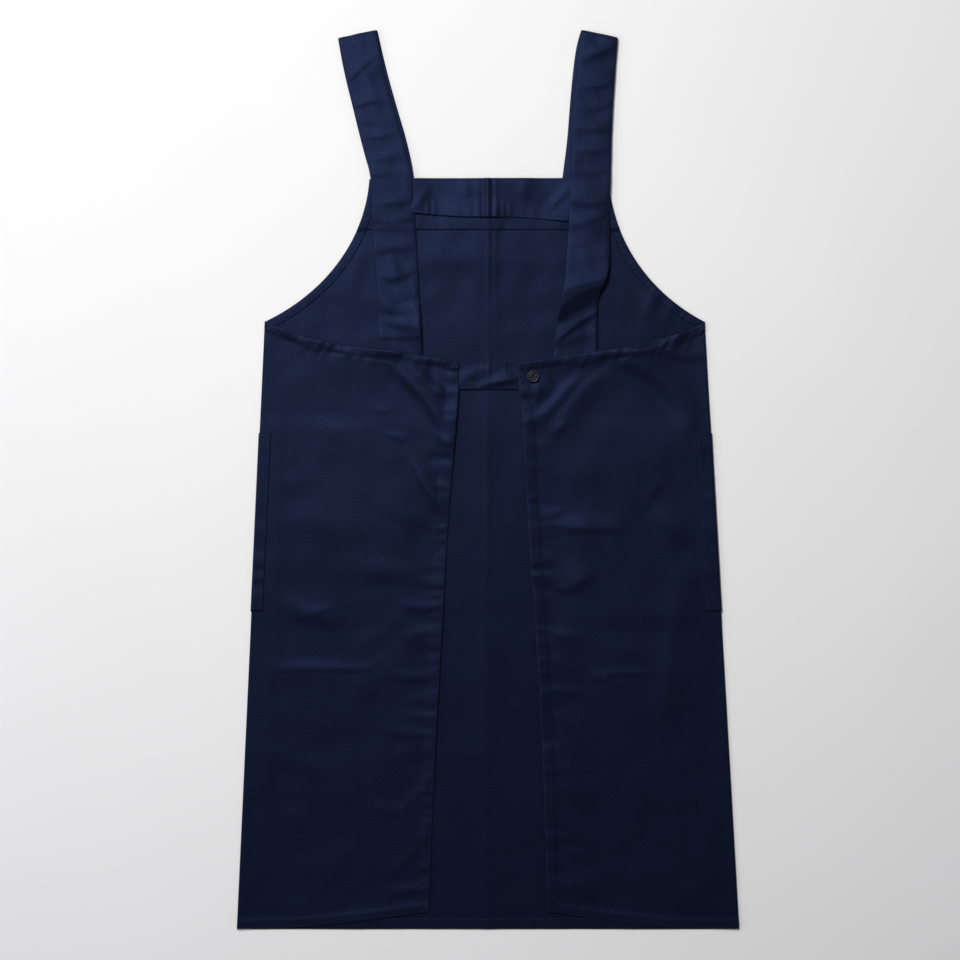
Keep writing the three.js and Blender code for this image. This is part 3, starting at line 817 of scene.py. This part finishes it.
# ----------------------------------------
# Straps: each is a tube of twill pressed flat, sewn to the bib at one end, folded over at the
# shoulder and run back down to the top edge of a back panel. The right one buckles on the way.
STRAP_HALF = 0.65  # half of the flattened tube's thickness
STRAP_WIDE = 49.0
STRAP_STEP = 1.9
LOOP_RADIUS = 2.2
SHOULDER_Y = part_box("shoulder_strap_left")[1].y * 1000
FRONT_END_Y = 331.0
TAIL_END_Y = 143.0
BACK_RUN = {
    -1: (
        [
            *[(-130.5, 140), (-133, 218), (-136, 269), (-139, 303), (-139, 359)],
            *[(-149, 393), (-160, 437), (-172, 491), (-180, 540)],
        ],
        [
            *[(-78, 140), (-82, 218), (-88, 320), (-91, 364)],
            *[(-101, 405), (-113, 445), (-126, 491), (-134, 540)],
        ],
    ),
    1: (
        [
            *[(78, 140), (81, 182), (87, 209), (91, 232), (94, 265), (97, 311)],
            *[(100, 362), (101, 423), (104, 460), (108, 496), (113, 540)],
        ],
        [
            *[(131, 140), (130.5, 199), (132, 222), (144, 243), (145.5, 279)],
            *[(145.5, 313), (147, 361), (148, 413), (151, 472), (155.5, 540)],
        ],
    ),
}
FRONT_RUN = {
    -1: (
        [(-138, 325), (-137, 362), (-146, 393), (-156, 437), (-168, 491), (-179, 540)],
        [(-89, 325), (-88, 362), (-97, 405), (-109, 445), (-122, 491), (-133, 540)],
    ),
    1: (
        [(86, 325), (89, 362), (95, 405), (98, 448), (102, 491), (106, 520), (112, 540)],
        [(134, 325), (137, 362), (143, 405), (146, 448), (150, 491), (153, 520), (155.5, 540)],
    ),
}
FRONT_LIFT = [(325, 2.6), (361, 2.5), (382, 1.8), (420, 1.3), (540, 1.2)]
LOOP_LIFT = [(350, 5.4), (366, 5.6), (400, 5.9), (450, 5.5), (480, 5.2), (520, 5.4), (540, 5.6)]
BACK_LIFT = {
    -1: [
        *[(140, 1.2), (166, 1.3), (171, 2.2), (200, 2.0)],
        *[(250, 2.2), (290, 2.9), (312, 4.4), (322, 5.2)],
        *LOOP_LIFT,
    ],
    1: [
        *[(140, 1.2), (158, 1.4), (168, 1.8), (186, 2.3), (200, 2.8), (210, 4.0)],
        *[(218, 7.0), (226, 10.8), (235, 12.0), (256, 9.6), (286, 6.4), (318, 5.4)],
        *LOOP_LIFT,
    ],
}
STRAP_FOLDS = {
    -1: [
        ([(-172, 479), (-153, 497), (-134, 511)], 1.0, 6, 4),
        ([(-163, 446), (-142, 456), (-120, 452)], 0.9, 5, 4),
        ([(-157, 432), (-138, 428), (-117, 425)], 0.6, 4, 4),
        ([(-148, 412), (-130, 410), (-112, 414)], 0.7, 4, 3),
        ([(-146, 388), (-128, 384), (-106, 388)], 0.8, 5, 4),
        ([(-140, 366), (-120, 368), (-98, 363)], 0.6, 4, 4),
        ([(-140, 331), (-118, 331), (-88, 334)], 0.7, 5, 4),
        ([(-140, 313), (-116, 308), (-88, 315)], 1.0, 5, 4),
        ([(-138, 300), (-114, 303), (-88, 299)], 0.6, 3, 3),
        ([(-136, 272), (-114, 279), (-88, 278)], 0.8, 6, 4),
        ([(-134, 246), (-112, 239), (-86, 253)], 0.9, 6, 4),
        ([(-130, 210), (-110, 200), (-82, 206)], 1.0, 6, 4),
        ([(-130, 190), (-108, 186), (-84, 182)], 0.8, 5, 4),
        ([(-88, 215), (-82, 185), (-79, 145)], 5.0, 9, 12),
    ],
    1: [
        ([(112, 503), (130, 514), (154, 530)], 1.0, 6, 4),
        ([(110, 488), (130, 484), (154, 496)], 0.7, 5, 4),
        ([(106, 476), (128, 470), (152, 484)], 1.0, 5, 4),
        ([(105, 448), (124, 443), (149, 452)], 0.8, 5, 4),
        ([(102, 425), (122, 419), (148, 422)], 0.9, 5, 4),
        ([(100, 397), (122, 392), (148, 399)], 0.8, 5, 4),
        ([(100, 372), (122, 366), (147, 374)], 0.6, 4, 4),
        ([(97, 335), (118, 328), (146, 335)], 0.8, 5, 4),
        ([(96, 304), (118, 310), (146, 320)], 1.0, 6, 5),
        ([(94, 282), (118, 286), (145, 290)], 0.8, 6, 5),
        ([(84, 196), (104, 208), (124, 212)], 0.9, 5, 4),
        ([(80, 164), (104, 184), (130, 200)], 1.5, 5, 2.2),
        ([(80, 160), (104, 170), (130, 175)], 0.6, 4, 4),
        ([(131, 206), (130, 180), (131, 142)], 2.6, 10, 8),
    ],
}
CREST_SLANT = [(178, 0.0), (194, 0.65), (214, 0.6), (232, 0.25), (250, 0.2), (300, 0.0)]  # right strap
SHOULDER_SLANT = 0.21  # the shoulder folds fall away towards the outer edges


def strap_middle_height(side, x, y, on_back):
    """Middle of the flattened tube above the table, on the back run or on the front run."""
    ground = front_height(x, np.minimum(y, BIB_TOP_Y)) * (1 - smooth_step(y, 362, 395))
    slanted = y - (side > 0) * np.interp(y, *np.array(CREST_SLANT).T) * (x - 118)
    back_lift = np.interp(slanted, *np.array(BACK_LIFT[side]).T)
    front_lift = np.interp(y, *np.array(FRONT_LIFT).T)
    for path, height, left, right in STRAP_FOLDS[side]:
        back_lift = back_lift + 1.15 * fold(x, y, path, height, left * 1.8, right * 1.1)
    back_lift = back_lift + 0.3 * crumple(x, y, 60, 100 + side, 1.6) * smooth_step(SHOULDER_Y - y, 3, 30)
    return ground + front_lift * (1 - on_back) + back_lift * on_back


def strap_path():
    """Spots along the middle of a strap from its tail over the shoulder: y, share on the back run."""
    turn_y = SHOULDER_Y - LOOP_RADIUS - STRAP_HALF
    spots = [(y, 1.0) for y in np.append(np.arange(TAIL_END_Y, turn_y, STRAP_STEP), turn_y)]
    bend = np.radians(np.arange(15, 180, 15))
    spots += [(turn_y + LOOP_RADIUS * math.sin(a), (1 + math.cos(a)) / 2) for a in bend]
    spots += [(y, 0.0) for y in np.arange(turn_y, FRONT_END_Y, -3.0)]
    return np.array(spots)


def strap_edges(side, y, on_back):
    back = [edge_value(line, y, 1) for line in BACK_RUN[side]]
    front = [edge_value(line, y, 1) for line in FRONT_RUN[side]]
    return [f + (b - f) * on_back for f, b in zip(front, back)]


def weld(piece):
    """Joins the two edges of a sheet that meet along a tube's seam."""
    bm = bmesh.new()
    bm.from_mesh(piece.data)
    bmesh.ops.remove_doubles(bm, verts=bm.verts, dist=1e-6)
    bm.to_mesh(piece.data)
    bm.free()
    return piece


for side, word in SIDES:
    path = strap_path()

    def lay_strap(around, index, drop, side=side, path=path):
        index = np.rint(index).astype(int)
        upper = around <= 1
        across = np.where(upper, around, 2 - around)
        y, on_back = path[index, 0], path[index, 1]
        left, right = strap_edges(side, y, on_back)
        x = left + (right - left) * across
        z = strap_middle_height(side, x, y, on_back)
        before, after = path[np.maximum(index - 1, 0)], path[np.minimum(index + 1, len(path) - 1)]
        rise = 2 * LOOP_RADIUS * (after[:, 1] - before[:, 1])
        run = after[:, 0] - before[:, 0]
        long = np.hypot(run, rise)
        y = y - SHOULDER_SLANT * np.abs(x - (right if side < 0 else left)) * smooth_step(y, 430, SHOULDER_Y)
        bulge = STRAP_HALF * np.sqrt(1 - np.abs(2 * across - 1) ** 10) * np.where(upper, 1, -1)
        soft = 0.22 * (1 + crumple(x, y, 26, 104 + side)) * (bulge > 0.5)
        bulge = bulge + soft * bump_at(across, 0.5, 0.33)
        y = y - rise / long * bulge
        z = np.maximum(z + run / long * bulge, 0.02)
        weave_x = across * STRAP_WIDE + 60 * (around > 1)
        # Painted highlight along the two folded edges of the flattened tube.
        edge_highlight = 0.45 * bump_at(np.abs(2 * across - 1), 1.0, 0.03)
        return x, y, z, weave_x, index * STRAP_STEP, edge_highlight

    shares = [0, 0.004, 0.015, 0.04, 0.08, *np.arange(0.12, 0.9, 0.04), 0.92, 0.96, 0.985, 0.996, 1]
    columns = [(share, 0.0) for share in shares] + [(2 - share, 0.0) for share in reversed(shares[:-1])]
    rows = [(i, 0.0) for i in range(len(path))]
    strap = weld(cloth_grid(f"shoulder_strap_{word}_cloth", columns, rows, lay_strap, satin))
    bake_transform(strap)
    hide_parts(f"shoulder_strap_{word}", f"strap_tail_{word}", f"strap_front_end_{word}")

# ----------------------------------------
# Button: four holes, dark resin, turned with a raised rim. It is sewn on the tab and stands on its
# shank of thread, which comes up through the buttonhole of the right back panel.
BUTTON_AT = Vector((54.0, 123.5))
BUTTON_HOLE = 0.85
HOLE_AWAY = 1.75
BUTTON_BASE = 6.1
BUTTON_SIDES = 56


def resin_material():
    """Polyester resin, near black with a trace of blue, its polish a little dulled by washing."""
    material = new_material("polished_button_resin")
    tree = material.node_tree
    place = add_node(tree, "ShaderNodeTexCoord").outputs["Object"]
    marble = noise(tree, 260.0, 3.0, place)
    tone = two_tones(tree, "#0a0d18", "#0e1220", marble)
    dulled = {"To Min": 0.34, "To Max": 0.46}
    polish = add_node(tree, "ShaderNodeMapRange", dulled, {"Value": marble}).outputs["Result"]
    finish = {"IOR": 1.54, "Specular IOR Level": 0.3}
    finish_material(tree, finish, {"Base Color": tone, "Roughness": polish})
    return material


def piece_from(bm, name, material):
    """Makes an object from a bmesh laid out in millimetres."""
    bmesh.ops.scale(bm, vec=(0.001, 0.001, 0.001), verts=bm.verts)
    return piece_of(mesh_from(bm, name), name, material)


def button_rim():
    """The ring of the button: a rounded rim that falls to the web round the holes."""
    profile = [(4.6, 0.5), (6.4, 0.1), (7.2, 0.5), (7.5, 1.2)]  # radius, height over the button's back
    profile += [(7.3, 1.9), (6.6, 2.3), (5.8, 2.2), (5.1, 1.75), (4.6, 1.5)]
    bm = bmesh.new()
    ring = [bm.verts.new((r, 0, z)) for r, z in profile]
    edges = [bm.edges.new((ring[i], ring[(i + 1) % len(ring)])) for i in range(len(ring))]
    whole = {"angle": 2 * math.pi, "steps": BUTTON_SIDES, "use_merge": True}
    bmesh.ops.spin(bm, geom=ring + edges, cent=(0, 0, 0), axis=(0, 0, 1), **whole)
    bmesh.ops.recalc_face_normals(bm, faces=bm.faces)
    bmesh.ops.translate(bm, vec=(*BUTTON_AT, BUTTON_BASE), verts=bm.verts)
    return bm


def button_web():
    """The thin middle of the button with its four holes."""
    bm = bmesh.new()
    loops = [((0, 0), 4.9, BUTTON_SIDES)]
    for turn in np.radians([45, 135, 225, 315]):
        loops.append(((HOLE_AWAY * math.cos(turn), HOLE_AWAY * math.sin(turn)), BUTTON_HOLE, 20))
    for (x, y), radius, count in loops:
        circle = bmesh.ops.create_circle(bm, radius=radius, segments=count)
        bmesh.ops.translate(bm, vec=(x, y, 0.6), verts=circle["verts"])
    bmesh.ops.triangle_fill(bm, use_beauty=True, edges=bm.edges)
    raised = bmesh.ops.extrude_face_region(bm, geom=bm.faces)
    upper = [part for part in raised["geom"] if isinstance(part, bmesh.types.BMVert)]
    bmesh.ops.translate(bm, vec=(0, 0, 1.0), verts=upper)
    bmesh.ops.recalc_face_normals(bm, faces=bm.faces)
    bmesh.ops.translate(bm, vec=(*BUTTON_AT, BUTTON_BASE), verts=bm.verts)
    return bm


resin = resin_material()
for name, bm in (("button_rim", button_rim()), ("button_web", button_web())):
    piece = piece_from(bm, name, resin)
    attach(piece, "button_disc")
    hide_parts("button")

# ----------------------------------------
# Thread: matching navy polyester. A lockstitch row runs along every hem and seam, each stitch sunk
# in the cloth it holds. A close ring edges the buttonhole; a shank and two bars hold the button.
STITCH_PITCH = 3.0
STITCH_LONG = 2.5
THREAD = 0.42
TAIL_SEAM = {-1: 169.0, 1: 163.0}


def thread_material():
    """Spun polyester thread, a shade lighter than the twill, matt with a faint twist."""
    material = new_material("navy_sewing_thread")
    tree = material.node_tree
    place = add_node(tree, "ShaderNodeTexCoord").outputs["Object"]
    twist = noise(tree, 2200.0, 2.0, place)
    tone = two_tones(tree, "#10172f", "#202a4c", twist)
    relief = {"Strength": 0.4, "Distance": 0.0001}
    normal = add_node(tree, "ShaderNodeBump", relief, {"Height": twist}).outputs["Normal"]
    finish = {"Roughness": 0.5, "Specular IOR Level": 0.4, "Specular Tint": hex_colour("#8f9fd0")}
    finish_material(tree, finish, {"Base Color": tone, "Normal": normal})
    return material


thread = thread_material()


def stitch_shape():
    """One stitch of unit size, lying along x: the pattern for all the others."""
    bm = bmesh.new()
    upright = Matrix.Rotation(math.pi / 2, 4, "Y")
    bmesh.ops.create_uvsphere(bm, u_segments=6, v_segments=5, radius=1, matrix=upright)
    return mesh_from(bm, "stitch_shape")


one_stitch = stitch_shape()


def stitch_row(name, line, height, pitch=STITCH_PITCH, long=STITCH_LONG, sunk=0.05, skirt=0):
    """Stitches along a line of (x, y): long ovals of thread, tilted to lie on the cloth.
    A row on a skirt is not attached to the garment; skirt is -1 for the left one and 1 for the right one."""
    line = np.array(line, float)
    run = np.concatenate([[0], np.cumsum(np.hypot(*(line[1:] - line[:-1]).T))])
    spots = np.arange(pitch / 2, run[-1], pitch)
    ends = []
    for shift in (-long / 2, long / 2):
        x = np.interp(spots + shift, run, line[:, 0])
        y = np.interp(spots + shift, run, line[:, 1])
        ends.append(np.stack([x, y, height(x, y) + CLOTH / 2 + THREAD / 2 - sunk], 1))
    along = (ends[1] - ends[0]) / 2
    sideways = np.cross((0, 0, 1), along)
    sideways = sideways / np.linalg.norm(sideways, axis=1, keepdims=True) * THREAD / 2
    upwards = np.cross(along, sideways)
    upwards = upwards / np.linalg.norm(upwards, axis=1, keepdims=True) * THREAD * 0.42
    bm = bmesh.new()
    for _ in spots:
        bm.from_mesh(one_stitch)
    piece = piece_from(bm, name, thread)
    unit = np.empty(len(one_stitch.vertices) * 3, np.float32)
    one_stitch.vertices.foreach_get("co", unit)
    turn = np.stack([along, sideways, upwards], 1)
    places = np.einsum("vk,nkc->nvc", unit.reshape(-1, 3), turn) + ((ends[0] + ends[1]) / 2)[:, None, :]
    piece.data.vertices.foreach_set("co", (places / 1000).astype(np.float32).ravel())
    piece.data.update()
    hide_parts(name.replace("stitches", "stitching"))
    if skirt:
        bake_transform(piece)
    else:
        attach(piece, "garment")


stitch_row(
    "front_hem_stitches",
    [(x, HEM_Y + 12.5) for x in np.linspace(-292, 292, 100)],
    lambda x, y: front_height(x, y) + 1.25 + pucker(x, 0.5, 17, 0.22, 12, 8),
)
stitch_row(
    "bib_facing_stitches",
    [(x, FACING_EDGE_Y + 1.8) for x in np.linspace(-150, 150, 80)],
    lambda x, y: facing_height(x, y) - 0.3 + pucker(x, 1.8, 14, 0.16, 9, 13),
)


def on_armhole(x, y):
    return front_height(x, y) + 1.0 + 1.25 * smooth_step(y, FACING_EDGE_Y - 3, FACING_EDGE_Y + 1)


for side, word in SIDES:

    def on_panel(x, y, side=side):
        return back_height(side, x, y)

    def on_strip(x, y, side=side):
        return strip_height(side, x, y)

    def on_tail(x, y, side=side):
        return strap_middle_height(side, x, y, 1.0) + STRAP_HALF + 0.2

    spots = [armhole_place(side, 8.0, share) for share in np.linspace(0.06, 0.985, 120)]
    line = [(float(x), float(y)) for x, y, _ in spots]
    stitch_row(f"armhole_stitches_{word}", line, on_armhole)
    top = BACK_TOP[side]
    xs = np.linspace(top[0][0] - side * 8, top[-1][0] + side * 3, 140)
    line = list(zip(xs, edge_value(top, xs) - TOP_HEM + 1.3))
    stitch_row(f"back_top_stitches_{word}", line, on_panel)
    ys = np.linspace(-505, 86, 180)
    line = list(zip(edge_value(BACK_OPENING[side], ys, 1) + side * (OPENING_HEM - 1.2), ys))
    stitch_row(f"back_edge_stitches_{word}", line, on_panel, skirt=side)
    xs = np.linspace(side * 82, side * 296, 140)
    line = list(zip(xs, edge_value(BACK_FOOT[side], xs) + FOOT_HEM - 1.2))
    stitch_row(f"back_hem_stitches_{word}", line, on_panel, skirt=side)
    inset = POCKET_WRAP[side] - 1.8
    ys = np.linspace(POCKET_FOOT + 1, POCKET_TOP - 1, 90)
    line = [(float(side_line(side, y) - side * inset), y) for y in ys]
    stitch_row(f"pocket_stitches_{word}", line, on_strip)
    row_y = TAIL_SEAM[side]
    left, right = (edge[0] for edge in strap_edges(side, np.array([row_y]), 1.0))
    line = [(x, row_y + 0.06 * (x - left)) for x in np.linspace(left + 2, right - 2, 20)]
    stitch_row(f"strap_end_stitches_{word}", line, on_tail, sunk=0.3)

for word, low_row in (("top", False), ("lower", True)):
    xs = np.linspace(-88, 96, 90)
    ys = crossbar_low(xs) + 3.2 if low_row else np.full(xs.shape, CROSSBAR_TOP - 3.2)
    stitch_row(f"crossbar_{word}_stitches", list(zip(xs, ys)), crossbar_height)
reach = 33
tab_low = TAB_FOOT + 3.2
tab_high = TAB_TOP - 3.2
corners = [(-reach, tab_low), (reach, tab_low), (reach, tab_high), (-reach, tab_high), (-reach, tab_low)]
sides = list(zip(np.array(corners[:-1], float), np.array(corners[1:], float)))
ring = [a + (b - a) * share for a, b in sides for share in np.linspace(0, 1, 24)]
stitch_row("tab_stitches", ring, tab_height)

turns = np.linspace(0, 2 * math.pi, 60)
ring = [(BUTTON_AT.x + 9.5 * math.cos(turn), BUTTON_AT.y + 1.9 * math.sin(turn)) for turn in turns]
stitch_row("buttonhole_stitches", ring, on_panel, pitch=0.8, long=0.75, sunk=0.0)


def button_thread():
    """The shank under the button and two bars of thread across pairs of its holes."""
    bm = bmesh.new()
    column = Matrix.Translation((*BUTTON_AT, BUTTON_BASE - 0.6))
    upright = Matrix.Rotation(math.pi / 2, 4, "Y")
    size = {"radius1": 1.1, "radius2": 1.0, "depth": 3.0}
    bmesh.ops.create_cone(bm, cap_ends=True, segments=20, matrix=column, **size)
    reach = HOLE_AWAY * math.cos(math.pi / 4)
    shape = Matrix.Diagonal((reach + 0.5, 0.42, 0.3, 1))
    for offset in (-reach, reach):
        middle = Matrix.Translation((BUTTON_AT.x, BUTTON_AT.y + offset, BUTTON_BASE + 1.75))
        place = middle @ shape @ upright
        bmesh.ops.create_uvsphere(bm, u_segments=12, v_segments=10, radius=1, matrix=place)
    return bm


shank = piece_from(button_thread(), "button_thread", thread)
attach(shank, "button_disc")
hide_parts("button_shank")
